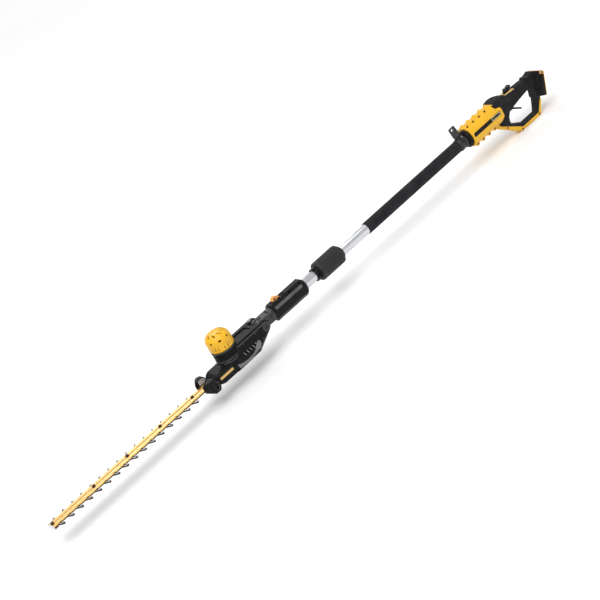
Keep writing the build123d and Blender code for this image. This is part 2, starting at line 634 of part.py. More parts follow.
def barrel_half(side):
    """Half of the barrel that clamps the knuckle's spigot and the front tube together."""
    with BuildPart() as piece:
        with BuildSketch(ACROSS.offset(BARREL_XS[0])):
            with BuildLine():
                Polyline((0, -26), (side * -11, -26), (side * -24, -14), (side * -26, -6),
                         (side * -26, 8), (side * -20, 19), (side * -11, 26), (0, 26), close=True)
            make_face()
        extrude(amount=BARREL_XS[1] - BARREL_XS[0])
        rear = piece.faces().sort_by(Axis.X)[-1].edges().filter_by(lambda e: abs(e.center().Y) > 0.1)
        chamfer(rear, 7)
        front = piece.faces().sort_by(Axis.X)[0].edges().filter_by(lambda e: abs(e.center().Y) > 0.1)
        chamfer(front, 2)
        rod(ACROSS.offset(54), (0, 0), SPIGOT_R, 53, mode=Mode.SUBTRACT)
        rod(ACROSS.offset(100), (0, 0), TUBE_R, 90, mode=Mode.SUBTRACT)
        # recess and opening for the tilt-lock button
        block(TOP.offset(23.5), (90, 0), (48, 22), 6, corner=4, mode=Mode.SUBTRACT)
        block(TOP.offset(5), (89, 0), (34, 13), 30, corner=2, mode=Mode.SUBTRACT)
        for x in BARREL_SCREW_XS:
            for z in (-BARREL_SCREW_Z, BARREL_SCREW_Z):
                if side > 0:
                    rod(SIDE.offset(8), (x, z), 3.2, 20, mode=Mode.SUBTRACT)
                    rod(SIDE, (x, z), 1.5, 20, mode=Mode.SUBTRACT)
                else:
                    rod(SIDE, (x, z), 1.5, -8, mode=Mode.SUBTRACT)
    save(piece, "barrel_left" if side > 0 else "barrel_right")


def barrel_screws():
    """Screws that close the barrel, as one group of equal pieces."""
    with BuildPart() as piece:
        for x in BARREL_SCREW_XS:
            for z in (-BARREL_SCREW_Z, BARREL_SCREW_Z):
                rod(SIDE.offset(8), (x, z), 3.1, 2.4)
                rod(SIDE.offset(8), (x, z), 1.5, -14)
    save(piece, "barrel_screws")


def tilt_button():
    """Yellow thumb button that draws the lock pin back."""
    with BuildPart() as piece:
        plate(SIDE, [(71, 27), (72, 31), (80, 36.7), (84, 36.7), (95, 30.5), (99, 27)], 6.5, both=True)
        block(TOP.offset(3.5), (84, 0), (12, 8.4), 24)
        block(SIDE, (84, 0), (12, 7.6), 4.2, both=True)
        for i in range(3):
            plate(SIDE, [(86 + 3.4 * i, 37), (87.4 + 3.4 * i, 37), (87.4 + 3.4 * i, 31.5 - 1.8 * i),
                         (86 + 3.4 * i, 31.5 - 1.8 * i)], 8, mode=Mode.SUBTRACT, both=True)
        rod(ACROSS.offset(70), (0, 0), PIN_R, 30, mode=Mode.SUBTRACT)
    save(piece, "tilt_button")


def lock_pin():
    """Pin that holds the detent plate, drawn back by the button."""
    with BuildPart() as piece:
        rod(ACROSS.offset(14.6), (0, 0), PIN_R, 76.4)
        rod(ACROSS.offset(91), (0, 0), 1.8, 4)
    save(piece, "lock_pin")


def coil_spring(name, start, direction, radius, wire_r, length, turns):
    """Helical spring from a start point along a direction."""
    with BuildPart() as piece:
        with BuildLine() as path:
            Helix(pitch=length / turns, height=length, radius=radius,
                  center=DATUM + Vector(*start), direction=direction)
        with BuildSketch(Plane(origin=path.line @ 0, z_dir=path.line % 0)):
            Circle(wire_r)
        sweep(path=path.line, is_frenet=True)
    save(piece, name)


def front_tube():
    """Silver tube from the barrel into the coupling."""
    with BuildPart() as piece:
        start_x, end_x = FRONT_TUBE_XS
        ring(ACROSS.offset(start_x), (0, 0), TUBE_R, TUBE_R - TUBE_WALL, end_x - start_x)
    save(piece, "front_tube")


def leads(name, start_x, end_x):
    """Two power leads that run straight inside a tube."""
    with BuildPart() as piece:
        for y in (-4, 4):
            rod(ACROSS.offset(start_x), (y, 0), 2.2, end_x - start_x)
    save(piece, name)


def connector_plug():
    """Plug in the end of the front tube, with two contact pins."""
    with BuildPart() as piece:
        rod(ACROSS.offset(272), (0, 0), TUBE_R - TUBE_WALL, 27)
        for y in (-5, 5):
            rod(ACROSS.offset(299), (y, 0), 1.5, 14)
    save(piece, "connector_plug")


def connector_socket():
    """Socket in the end of the rear tube that takes the plug's pins."""
    with BuildPart() as piece:
        rod(ACROSS.offset(305), (0, 0), TUBE_R - TUBE_WALL, 25)
        for y in (-5, 5):
            rod(ACROSS.offset(304), (y, 0), 1.5 + RUN_GAP, 14, mode=Mode.SUBTRACT)
    save(piece, "connector_socket")


# ======================================================================== coupling and rear pole
def coupling_body():
    """Fixed body of the coupling: it grips the rear tube and guides the front tube."""
    with BuildPart() as piece:
        rod(ACROSS.offset(226), (0, 0), COUPLING_R, 110)
        rod(ACROSS.offset(246), (0, 0), COUPLING_RIM_R, 80)
        rod(ACROSS.offset(220), (0, 0), TUBE_R + PIN_FIT, 81, mode=Mode.SUBTRACT)
        rod(ACROSS.offset(220), (0, 0), 13, 130, mode=Mode.SUBTRACT)
        rod(ACROSS.offset(304), (0, 0), TUBE_R, 50, mode=Mode.SUBTRACT)
        for i in range(6):
            turn = math.radians(60 * i)
            block(ACROSS.offset(225), (18.5 * math.cos(turn), 18.5 * math.sin(turn)), (4, 4), 9,
                  mode=Mode.SUBTRACT)
    save(piece, "coupling_body")


def coupling_collar():
    """Ribbed collar that is turned to clamp the front tube."""
    with BuildPart() as piece:
        rod(ACROSS.offset(COLLAR_XS[0]), (0, 0), COLLAR_R, COLLAR_XS[1] - COLLAR_XS[0])
        fillet(piece.edges().filter_by(GeomType.CIRCLE), 5)
        rod(ACROSS.offset(240), (0, 0), COUPLING_R + RUN_GAP, 100, mode=Mode.SUBTRACT)
        rod(ACROSS.offset(246 - RUN_GAP), (0, 0), COUPLING_RIM_R + RUN_GAP, 80 + 2 * RUN_GAP,
            mode=Mode.SUBTRACT)
        for i in range(COLLAR_RIBS):
            turn = 2 * math.pi * i / COLLAR_RIBS
            spot = (30 * math.cos(turn), 30 * math.sin(turn))
            rod(ACROSS.offset(252), spot, 2.2, 68, mode=Mode.SUBTRACT)
    save(piece, "coupling_collar")


def rear_tube():
    """Silver tube from the coupling to inside the handle housing."""
    with BuildPart() as piece:
        start_x, end_x = REAR_TUBE_XS
        ring(ACROSS.offset(start_x), (0, 0), TUBE_R, TUBE_R - TUBE_WALL, end_x - start_x)
    save(piece, "rear_tube")


def foregrip_sleeve():
    """Dark soft sleeve over the rear tube."""
    with BuildPart() as piece:
        start_x, end_x = SLEEVE_XS
        ring(ACROSS.offset(start_x), (0, 0), SLEEVE_R, TUBE_R, end_x - start_x)
        chamfer(piece.edges().filter_by(GeomType.CIRCLE).filter_by(lambda e: e.radius > 17), 1.2)
    save(piece, "foregrip_sleeve")


def hanger_band():
    """Bright clamp band round the rear tube."""
    with BuildPart() as piece:
        ring(ACROSS.offset(858), (0, 0), 20, TUBE_R, 25)
        with BuildSketch(ACROSS.offset(865)) as groove:
            Circle(21)
            Circle(19, mode=Mode.SUBTRACT)
        extrude(groove.sketch, amount=11, mode=Mode.SUBTRACT)
        block(TOP.offset(15), (HANGER_X, 0), (22, 14), 7)
        rod(ACROSS.offset(855), (0, 0), TUBE_R, 40, mode=Mode.SUBTRACT)
        block(TOP.offset(19), (HANGER_X, 0), (30, HANGER_T), 6, mode=Mode.SUBTRACT)
        rod(SIDE.offset(-10), HANGER_SCREW_AT, 1.5, 20, mode=Mode.SUBTRACT)
    save(piece, "hanger_band")


def strap_hanger():
    """Black plate that stands on the band, with the eyelet for the strap's hook."""
    with BuildPart() as piece:
        plate(SIDE, [(858, 19), (881, 19), (880, 32), (873, 61), (850, 59), (854, 30)], HANGER_T / 2,
              corner=1.5, both=True)
        rod(SIDE, EYELET, EYELET_R, 5, mode=Mode.SUBTRACT, both=True)
        rod(SIDE, HANGER_SCREW_AT, 1.5, 5, mode=Mode.SUBTRACT, both=True)
    save(piece, "strap_hanger")


def hanger_screw():
    """Cross screw that clamps the hanger in its band."""
    with BuildPart() as piece:
        rod(SIDE, HANGER_SCREW_AT, 1.5, 10, both=True)
        for side in (1, -1):
            rod(SIDE.offset(side * 7), HANGER_SCREW_AT, 1.9, side * 2)
    save(piece, "hanger_screw")


def nose_collar():
    """Black collar where the rear tube enters the handle housing."""
    with BuildPart() as piece:
        rod(ACROSS.offset(NOSE_XS[0]), (0, 0), 28, NOSE_XS[1] - NOSE_XS[0])
        front = piece.edges().filter_by(GeomType.CIRCLE).sort_by(Axis.X)[0]
        chamfer(front, 5)
        rod(ACROSS.offset(880), (0, 0), TUBE_R, 30, mode=Mode.SUBTRACT)
    save(piece, "nose_collar")


# ======================================================================== handle
def handle_half(side):
    """Solid half of the whole handle, before it is parted along the seam."""
    with BuildPart() as grip:
        plate(SIDE, [(1026, -18), (1026, 28), (1075, 30), (1120, 26), (1200, 22), (1200, -7),
                     (1172, -9), (1123, -14.5), (1075, -23.5)], side * GRIP_HALF_WIDTH)
        rim = grip.edges().filter_by(lambda e: abs(abs(e.center().Y) - GRIP_HALF_WIDTH) < 0.01)
        fillet(rim, 9)
    with BuildPart() as hump:
        with BuildSketch(SIDE):
            with BuildLine():
                Polyline((1078, 29.5), (1078, -20), (1014, -20), (1014, 36), (1020, 38.5))
                Spline((1020, 38.5), (1034, 40.5), (1050, 39), (1065, 34.5), (1078, 29.5))
            make_face()
        extrude(amount=side * HUMP_HALF_WIDTH)
        chamfer(hump.edges().filter_by(lambda e: abs(abs(e.center().Y) - HUMP_HALF_WIDTH) < 0.01), 5)
    with BuildPart() as loop:
        with BuildSketch(SIDE) as frame:
            with BuildLine():
                Polyline((988, -18), (990, -30), (1080, LOOP_Z), (1172, LOOP_Z), (1199, -62),
                         (1199, -7), (1120, 0), close=True)
            make_face()
            fillet(frame.vertices().filter_by(lambda v: v.Z < DATUM.Z - 90), 6)
        extrude(amount=side * LOOP_HALF_WIDTH)
        chamfer(loop.edges().filter_by(
            lambda e: abs(abs(e.center().Y) - LOOP_HALF_WIDTH) < 0.01 and e.center().Z < DATUM.Z - 20), 2.5)
    with BuildPart() as piece:
        with BuildSketch(ACROSS.offset(HOUSING_XS[0])):
            with BuildLine():
                Polyline((0, 35), (side * -12, 35), (side * -27, 26), (side * -HOUSING_R, 12),
                         (side * -HOUSING_R, -11), (side * -27, -24), (side * -12, -31), (0, -31),
                         close=True)
            make_face()
        extrude(amount=HOUSING_XS[1] - HOUSING_XS[0])
        ends = piece.faces().filter_by(Axis.X).edges().filter_by(lambda e: abs(e.center().Y) > 0.1)
        chamfer(ends, 2.5)
        add(hump.part)
        add(grip.part)
        add(loop.part)
        plate(SIDE, HAND_LOOP, side * 40, corner=5, mode=Mode.SUBTRACT)
        with BuildSketch(ACROSS.offset(915)):
            with BuildLine():
                Polyline((0, 31), (side * -10.5, 31), (side * -24.5, 23), (side * -31.5, 10),
                         (side * -31.5, -9.5), (side * -24.5, -21), (side * -10.5, -27.5), (0, -27.5),
                         close=True)
            make_face()
        extrude(amount=108, mode=Mode.SUBTRACT)
        plate(SIDE, [(1020, -12), (1020, 28), (1036, 33), (1050, 32.5), (1066, 25), (1168, 17.5),
                     (1168, -2), (1123, -9), (1064, -8)], side * 12.5, mode=Mode.SUBTRACT)
        for x in TOP_SCREW_XS:
            rod(SIDE, (x, TOP_SCREW_Z), SHELL_BOSS_R, side * 13)
        for x in LOW_SCREW_XS:
            rod(SIDE, (x, LOW_SCREW_Z), SHELL_BOSS_R, side * 27)
        rod(ACROSS.offset(890), (0, 0), TUBE_R, 46, mode=Mode.SUBTRACT)
        rod(ACROSS.offset(880), (0, 0), 28.3, 22.2, mode=Mode.SUBTRACT)
        # pocket of the trigger, opening of the lock-off lever, bores of their pins
        block(SIDE, (1088, -20), (46, 30), side * (TRIGGER_HALF_WIDTH + 1), mode=Mode.SUBTRACT)
        rod(SIDE, TRIGGER_PIVOT, LEVER_PIN_R, side * LEVER_PIN_REACH, mode=Mode.SUBTRACT)
        block(SIDE, (1100, 25), (42, 16), side * 14, mode=Mode.SUBTRACT)
        rod(SIDE, LOCK_OFF_PIVOT, LEVER_PIN_R, side * LEVER_PIN_REACH, mode=Mode.SUBTRACT)
        plate(SIDE, DOCK, side * 40, mode=Mode.SUBTRACT)
        block(SIDE, (1250, 0), (110, 200), side * 40, mode=Mode.SUBTRACT)
        for x, z, depth in SHELL_SCREWS:
            if side > 0:
                rod(SIDE.offset(depth), (x, z), 3.3, 20, mode=Mode.SUBTRACT)
                rod(SIDE.offset(depth - 9), (x, z), 1.6, 9, mode=Mode.SUBTRACT)
    return piece.part


def handle_shells(side, shell_name, grip_name):
    """Part one half of the handle along the seam into its yellow shell and its black grip."""
    half = handle_half(side)
    with BuildPart() as shell:
        add(half)
        plate(SIDE, SEAM, side * 60, mode=Mode.SUBTRACT)
    save(shell, shell_name)
    with BuildPart() as grip:
        add(half)
        plate(SIDE, SEAM, side * 60, mode=Mode.INTERSECT)
    save(grip, grip_name)


def shell_screws():
    """Screws along the handle's left side, as one group of equal pieces."""
    with BuildPart() as piece:
        for x, z, depth in SHELL_SCREWS:
            rod(SIDE.offset(depth), (x, z), 3.2, 2.2)
            rod(SIDE.offset(depth), (x, z), 1.6, -9)
            block(SIDE.offset(depth + 2.2), (x, z), (3.6, 0.9), -1, mode=Mode.SUBTRACT)
    save(piece, "shell_screws")


def battery_dock():
    """Foot that takes a slide-on battery pack: a channel with two rails on its rear face."""
    with BuildPart() as piece:
        plate(SIDE, DOCK, DOCK_NECK_HALF_WIDTH, both=True)
        chamfer(piece.edges().filter_by(lambda e: abs(abs(e.center().Y) - DOCK_NECK_HALF_WIDTH) < 0.01), 3)
        plate(DOCK_FACE, [(-DOCK_HALF_WIDTH, 0), (DOCK_HALF_WIDTH, 0), (DOCK_HALF_WIDTH, 14), (18, 31),
                          (-18, 31), (-DOCK_HALF_WIDTH, 14)], DOCK_LENGTH)
        plate(SIDE, HAND_LOOP, 40, corner=5, mode=Mode.SUBTRACT, both=True)
        block(DOCK_FACE.offset(-20), (0, -2), (80, 10), 130, mode=Mode.SUBTRACT)
        block(DOCK_FACE.offset(-20), (0, 6), (40, 16), 76, mode=Mode.SUBTRACT)
        block(DOCK_FACE.offset(-20), (0, 10), (50, 6), 76, mode=Mode.SUBTRACT)
    save(piece, "battery_dock")


def dock_trim():
    """Yellow frame round the dock's rear face, with slots in its broad upper part."""
    with BuildPart() as piece:
        block(DOCK_FACE, (0, 1.5), (2 * DOCK_HALF_WIDTH, 3), DOCK_LENGTH)
        block(DOCK_FACE.offset(-1), (0, 1.5), (52, 5), 58, mode=Mode.SUBTRACT)
        for x in (-17, 0, 17):
            block(DOCK_FACE.offset(63), (x, 1.5), (10, 5), 5, mode=Mode.SUBTRACT)
    save(piece, "dock_trim")


def terminal_block():
    """Insulating block at the deep end of the dock's channel."""
    with BuildPart() as piece:
        block(DOCK_FACE.offset(42), (0, 9), (32, 9), 14)
        for x in TERMINAL_XS:
            block(DOCK_FACE.offset(42), (x, 9), (TERMINAL_T, TERMINAL_WIDTH), 6, mode=Mode.SUBTRACT)
    save(piece, "terminal_block")


def terminal_blades():
    """Metal contact blades that stand out of the terminal block, as one group."""
    with BuildPart() as piece:
        for x in TERMINAL_XS:
            block(DOCK_FACE.offset(28), (x, 9), (TERMINAL_T, TERMINAL_WIDTH), 20)
    save(piece, "terminal_blades")


def trigger():
    """Thin trigger paddle that hangs from its pivot into the hand loop."""
    with BuildPart() as piece:
        plate(SIDE, [(1074.5, -18.5), (1081, -12), (1090, -21), (1122, -42), (1123, -45.5),
                     (1119, -46), (1086, -26)], TRIGGER_HALF_WIDTH, both=True, corner=1)
        rod(SIDE, TRIGGER_PIVOT, 5, TRIGGER_HALF_WIDTH, both=True)
        rod(SIDE, TRIGGER_PIVOT, LEVER_PIN_R + PIN_FIT, 20, both=True, mode=Mode.SUBTRACT)
    save(piece, "trigger")


def lever_pins():
    """Cross pins of the trigger and the lock-off lever, as one group of equal pieces."""
    with BuildPart() as piece:
        for centre in (TRIGGER_PIVOT, LOCK_OFF_PIVOT):
            rod(SIDE, centre, LEVER_PIN_R, LEVER_PIN_REACH, both=True)
    save(piece, "lever_pins")


def lock_off_lever():
    """Thumb lever that has to be rocked before the trigger can be squeezed."""
    with BuildPart() as piece:
        plate(SIDE, [(1094, 16), (1091, 27), (1093, 36), (1098, 40), (1104, 37.5), (1112, 41.5),
                     (1118, 41), (1118, 37), (1108, 30), (1103, 16)], LEVER_HALF_WIDTH, both=True, corner=1)
        rod(SIDE, LOCK_OFF_PIVOT, 5, LEVER_HALF_WIDTH, both=True)
        rod(SIDE, LOCK_OFF_PIVOT, LEVER_PIN_R + PIN_FIT, 20, both=True, mode=Mode.SUBTRACT)
    save(piece, "lock_off_lever")


def lock_off_bezel():
    """Tan frame let into the grip round the lock-off lever."""
    with BuildPart() as piece:
        plate(SIDE, [(1079.2, 17.2), (1120.8, 17.2), (1120.8, 25), (1116, 28), (1082, 28), (1079.2, 25)],
              13.9, both=True)
        block(SIDE, ((LEVER_GAP[0] + LEVER_GAP[1]) / 2, 22), (30, 30), 7.4, both=True,
              mode=Mode.SUBTRACT)
    save(piece, "lock_off_bezel")


def switch_module():
    """Trigger switch inside the grip."""
    with BuildPart() as piece:
        plate(SIDE, [(1118, -8), (1150, -4), (1150, 12), (1118, 12)], 9, both=True)
        block(SIDE, (1127, 13), (10, 4), 5, both=True)
        block(SIDE, (1142, 13), (6, 4), 3, both=True)
    save(piece, "switch_module")


def control_module():
    """Motor control board under its finned heat sink."""
    with BuildPart() as piece:
        block(TOP.offset(-12), (980, 0), (64, 40), 12, corner=2)
        for i in range(7):
            block(TOP.offset(0), (980, -18 + 6 * i), (60, 2), 12)
    save(piece, "control_module")


blade(UPPER_BLADE_Z, "upper_blade")
blade(LOWER_BLADE_Z, "lower_blade")
blade_bar()
blade_bolts()
tip_guard()
blade_guard()
drive_gear()
rotor()
fan()
stator()
ball_bearings()
gearcase()
gearcase_cover()
motor_housing()
motor_cap()
head_shell(1)
head_shell(-1)
head_screws()
bar_screws()
side_bands()
pivot_bolt()
cheek_cap()
detent_plate()
tilt_knuckle()
barrel_half(1)
barrel_half(-1)
barrel_screws()
tilt_button()
lock_pin()
coil_spring("lock_spring", (92, 0, 0), (1, 0, 0), 3.4, 0.6, 12, 5)
front_tube()
leads("front_leads", 108, 271)
connector_plug()
connector_socket()
coupling_body()
coupling_collar()
rear_tube()
foregrip_sleeve()
hanger_band()
strap_hanger()
hanger_screw()
nose_collar()
handle_shells(1, "handle_shell_left", "grip_shell_left")
handle_shells(-1, "handle_shell_right", "grip_shell_right")
shell_screws()
battery_dock()
dock_trim()
terminal_block()
terminal_blades()
trigger()
lever_pins()
coil_spring("trigger_spring", (1097, 0, -24), (0, 0, 1), 3, 0.6, 15, 6)
lock_off_lever()
coil_spring("lock_off_spring", (1111.3, 0, 17), (0, 0, 1), 2.2, 0.5, 11, 5)
lock_off_bezel()
switch_module()
control_module()
leads("rear_leads", 331, 945)
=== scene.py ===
"""Looks of the pole hedge trimmer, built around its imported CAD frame."""
import json
import math

import bmesh
import bpy
from mathutils import Matrix, Vector


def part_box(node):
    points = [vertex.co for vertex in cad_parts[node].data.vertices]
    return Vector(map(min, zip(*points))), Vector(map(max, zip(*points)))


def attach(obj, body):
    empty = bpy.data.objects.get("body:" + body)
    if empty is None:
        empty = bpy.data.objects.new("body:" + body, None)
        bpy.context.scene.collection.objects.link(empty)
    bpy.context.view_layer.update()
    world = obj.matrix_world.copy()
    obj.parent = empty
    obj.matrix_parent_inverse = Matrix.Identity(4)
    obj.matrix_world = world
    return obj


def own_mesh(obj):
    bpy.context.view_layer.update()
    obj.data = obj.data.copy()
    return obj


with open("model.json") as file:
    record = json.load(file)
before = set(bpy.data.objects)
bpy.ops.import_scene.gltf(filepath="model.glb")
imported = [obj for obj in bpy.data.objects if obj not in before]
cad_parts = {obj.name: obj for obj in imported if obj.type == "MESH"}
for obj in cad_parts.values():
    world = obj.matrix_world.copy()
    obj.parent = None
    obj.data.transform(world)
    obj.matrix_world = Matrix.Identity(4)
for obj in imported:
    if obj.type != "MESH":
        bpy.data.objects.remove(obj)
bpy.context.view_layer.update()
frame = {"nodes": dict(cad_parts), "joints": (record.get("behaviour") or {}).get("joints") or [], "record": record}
nodes = frame["nodes"]
joints = {j["name"]: j for j in frame["joints"]}

# The tilt pivot is the datum of the design: stations along the tool are counted from it.
PIVOT = Vector(joints["head_tilt"]["pos_m"])

# Distances of the flat sides from the middle plane, in millimetres.
HEAD_SIDE_Y = 36.0
GEARCASE_SIDE_Y = 30.0
HOUSING_SIDE_Y = 35.0
BUTTON_SIDE_Y = 6.5
GUARD_INNER_Y = 18.5


def at(x, y, z):
    """Place in metres of a station given in millimetres from the tilt pivot."""
    return PIVOT + Vector((x, y, z)) / 1000


# ------------------------------------------------------------------ material nodes
class Shader:
    """Small helper that builds one node material."""

    def __init__(self, name):
        self.material = bpy.data.materials.new(name)
        self.material.use_nodes = True
        self.tree = self.material.node_tree
        self.bsdf = self.tree.nodes["Principled BSDF"]
        self.coords = self.node("ShaderNodeTexCoord").outputs["Object"]

    def node(self, kind, **values):
        made = self.tree.nodes.new(kind)
        for key, value in values.items():
            setattr(made, key, value)
        return made

    def link(self, source, target):
        self.tree.links.new(source, target)

    def noise(self, scale, detail=3.0, stretch=(1, 1, 1)):
        """Noise over the object's own space; scale is in cells per metre."""
        mapping = self.node("ShaderNodeMapping")
        mapping.inputs["Scale"].default_value = stretch
        self.link(self.coords, mapping.inputs["Vector"])
        noise = self.node("ShaderNodeTexNoise")
        noise.inputs["Scale"].default_value = scale
        noise.inputs["Detail"].default_value = detail
        self.link(mapping.outputs["Vector"], noise.inputs["Vector"])
        return noise.outputs["Fac"]

    def ramp(self, source, low, high, start=0.0, end=1.0):
        """Map a value onto a range."""
        made = self.node("ShaderNodeMapRange")
        made.inputs["From Min"].default_value = start
        made.inputs["From Max"].default_value = end
        made.inputs["To Min"].default_value = low
        made.inputs["To Max"].default_value = high
        self.link(source, made.inputs["Value"])
        return made.outputs["Result"]

    def mix(self, factor, first, second):
        """Colour mix; first and second are colours or sockets."""
        made = self.node("ShaderNodeMix", data_type="RGBA")
        self.link(factor, made.inputs["Factor"])
        for socket, value in ((made.inputs[6], first), (made.inputs[7], second)):
            if isinstance(value, tuple):
                socket.default_value = (*value, 1.0)
            else:
                self.link(value, socket)
        return made.outputs[2]

    def edges(self, low=0.505, high=0.56):
        """Mask of convex edges, for wear."""
        point = self.node("ShaderNodeNewGeometry").outputs["Pointiness"]
        return self.ramp(point, 0.0, 1.0, low, high)

    def product(self, first, second):
        made = self.node("ShaderNodeMath", operation="MULTIPLY")
        self.link(first, made.inputs[0])
        if isinstance(second, float):
            made.inputs[1].default_value = second
        else:
            self.link(second, made.inputs[1])
        return made.outputs[0]

    def bump(self, height, strength, distance, soft_edge=0.0006):
        """Bump over edges that look rounded by a small radius."""
        made = self.node("ShaderNodeBump")
        made.inputs["Strength"].default_value = strength
        made.inputs["Distance"].default_value = distance
        self.link(height, made.inputs["Height"])
        if soft_edge:
            bevel = self.node("ShaderNodeBevel", samples=4)
            bevel.inputs["Radius"].default_value = soft_edge
            self.link(bevel.outputs["Normal"], made.inputs["Normal"])
        self.link(made.outputs["Normal"], self.bsdf.inputs["Normal"])


def plastic(name, colour, rough, grain=2600.0, depth=0.12, fade=0.12, specular=0.5, rub=0.05):
    """Moulded plastic: fine grain, slow colour drift, rubbed edges, faint scuffs."""
    s = Shader(name)
    drift = s.ramp(s.noise(14.0, 4.0), 0.0, 1.0, 0.35, 0.65)
    darker = tuple(c * (1 - fade) for c in colour)
    lighter = tuple(min(1.0, c * (1 + fade) + 0.004) for c in colour)
    body = s.mix(drift, darker, lighter)
    rubbed = tuple(min(1.0, c * 1.25 + rub) for c in colour)
    wear = s.product(s.edges(), s.ramp(s.noise(90.0), 0.0, 0.7, 0.4, 0.7))
    s.link(s.mix(wear, body, rubbed), s.bsdf.inputs["Base Color"])
    scuff = s.noise(240.0, 5.0, (0.25, 1, 1))
    s.link(s.ramp(scuff, rough - 0.08, rough + 0.1, 0.3, 0.7), s.bsdf.inputs["Roughness"])
    s.bsdf.inputs["Specular IOR Level"].default_value = specular
    s.bump(s.noise(grain, 2.0), depth, 0.0003)
    return s.material


def metal(name, colour, rough, brush=(0.05, 1, 1), scale=1600.0, metallic=1.0, spread=0.12, depth=0.06):
    """Bare or coated metal with brushing along one direction and slow tarnish."""
    s = Shader(name)
    streak = s.noise(scale, 3.0, brush)
    tarnish = s.ramp(s.noise(22.0, 5.0), 0.0, 1.0, 0.3, 0.7)
    shade = s.mix(tarnish, tuple(c * (1 - spread) for c in colour), colour)
    bright = tuple(min(1.0, c * 1.15 + 0.03) for c in colour)
    s.link(s.mix(s.product(s.edges(), 0.7), shade, bright), s.bsdf.inputs["Base Color"])
    s.bsdf.inputs["Metallic"].default_value = metallic
    s.link(s.ramp(streak, rough - 0.06, rough + 0.12, 0.3, 0.7), s.bsdf.inputs["Roughness"])
    s.bump(streak, depth, 0.0002, soft_edge=0.0003)
    return s.material


def foam(name, colour):
    """Foam or soft rubber: open pores and a dull, dusty surface."""
    s = Shader(name)
    pores = s.noise(1500.0, 4.0)
    dust = s.ramp(s.noise(35.0, 5.0), 0.0, 1.0, 0.4, 0.75)
    shade = s.mix(dust, colour, tuple(min(1.0, c * 1.5 + 0.008) for c in colour))
    pits = s.ramp(pores, 0.55, 1.0, 0.3, 0.6)
    dark = s.mix(pits, tuple(c * 0.5 for c in colour), shade)
    s.link(dark, s.bsdf.inputs["Base Color"])
    s.link(s.ramp(pores, 0.62, 0.85, 0.3, 0.7), s.bsdf.inputs["Roughness"])
    s.bsdf.inputs["Specular IOR Level"].default_value = 0.22
    s.bump(pores, 0.35, 0.0004)
    return s.material


LOOKS = {
    "yellow_plastic": plastic("yellow_plastic", (0.77, 0.415, 0.013), 0.34, fade=0.07, specular=0.35),
    "black_plastic": plastic("black_plastic", (0.004, 0.0042, 0.0048), 0.3, specular=0.11, rub=0.02),
    "grip_rubber": foam("grip_rubber", (0.009, 0.009, 0.0112)),
    "tan_plastic": plastic("tan_plastic", (0.62, 0.38, 0.14), 0.4),
    "grey_plastic": plastic("grey_plastic", (0.13, 0.135, 0.14), 0.4),
    "dark_steel": metal("dark_steel", (0.03, 0.027, 0.027), 0.32, brush=(1, 1, 1), metallic=0.6),
    "bright_steel": metal("bright_steel", (0.62, 0.62, 0.63), 0.3, brush=(1, 1, 1), scale=500.0),
    "black_steel": plastic("black_steel", (0.012, 0.012, 0.013), 0.35, grain=1800.0, depth=0.2),
    "blade_steel": metal("blade_steel", (0.035, 0.03, 0.03), 0.34, metallic=0.75),
    "gear_steel": metal("gear_steel", (0.42, 0.42, 0.43), 0.3, brush=(1, 1, 1), scale=700.0),
    "laminated_steel": metal("laminated_steel", (0.3, 0.3, 0.32), 0.35, brush=(0.02, 0.02, 1),
                             scale=2500.0),
    "gold_aluminium": metal("gold_aluminium", (0.86, 0.50, 0.15), 0.32, scale=900.0, metallic=0.85),
    "tube_aluminium": metal("tube_aluminium", (0.58, 0.59, 0.61), 0.24, scale=1200.0, metallic=0.9),
    "aluminium_cast": plastic("aluminium_cast", (0.018, 0.018, 0.02), 0.38, grain=700.0, depth=0.3),
    "black_casting": plastic("black_casting", (0.003, 0.003, 0.0036), 0.34, grain=1100.0, depth=0.25,
                             specular=0.1, rub=0.015),
    "brass_contacts": metal("brass_contacts", (0.75, 0.5, 0.18), 0.28, brush=(1, 1, 1), scale=600.0),
    "lead_insulation": plastic("lead_insulation", (0.3, 0.012, 0.012), 0.4),
}

# Pieces whose colour is their own within their slot.
NODE_LOOKS = {
    "cheek_cap": metal("cap_grey", (0.20, 0.20, 0.205), 0.45, brush=(1, 1, 1), metallic=0.3),
    "coupling_collar": plastic("collar_rubber", (0.022, 0.022, 0.023), 0.5, specular=0.25),
    "tilt_button": plastic("button_orange", (0.74, 0.34, 0.07), 0.38),
}

for part in frame["record"]["subparts"]:
    mesh = nodes[part["node"]].data
    mesh.materials.clear()
    mesh.materials.append(NODE_LOOKS.get(part["node"], LOOKS[part["material_slot"]]))


# ------------------------------------------------------------------ rounded edges of the CAD nodes
# Radius in millimetres that each finish has on its edges.
EDGE_RADIUS = {
    "yellow_plastic": 1.3, "black_plastic": 1.2, "grip_rubber": 1.8, "tan_plastic": 0.8, "grey_plastic": 0.5,
    "dark_steel": 0.3, "bright_steel": 0.3, "black_steel": 0.5, "blade_steel": 0.22, "gold_aluminium": 0.35,
    "tube_aluminium": 0.3, "aluminium_cast": 0.8, "black_casting": 1.3,
}
SHARP_NODES = ("lock_spring", "trigger_spring", "lock_off_spring", "ball_bearings", "drive_gear", "rotor",
               "fan")


def soften(thing, radius, weld=True):
    """Round every sharp edge of a piece with modifiers; the mesh itself stays as it is."""
    if weld:
        joined = thing.modifiers.new("joined", "WELD")
        joined.merge_threshold = 0.00001
    rounded = thing.modifiers.new("rounded", "BEVEL")
    rounded.width = radius / 1000
    rounded.segments = 2
    rounded.limit_method = "ANGLE"
    rounded.angle_limit = math.radians(32)
    rounded.miter_outer = "MITER_ARC"
    rounded.harden_normals = True


for part in frame["record"]["subparts"]:
    edge = EDGE_RADIUS.get(part["material_slot"])
    if edge and part["node"] not in SHARP_NODES:
        soften(nodes[part["node"]], edge)


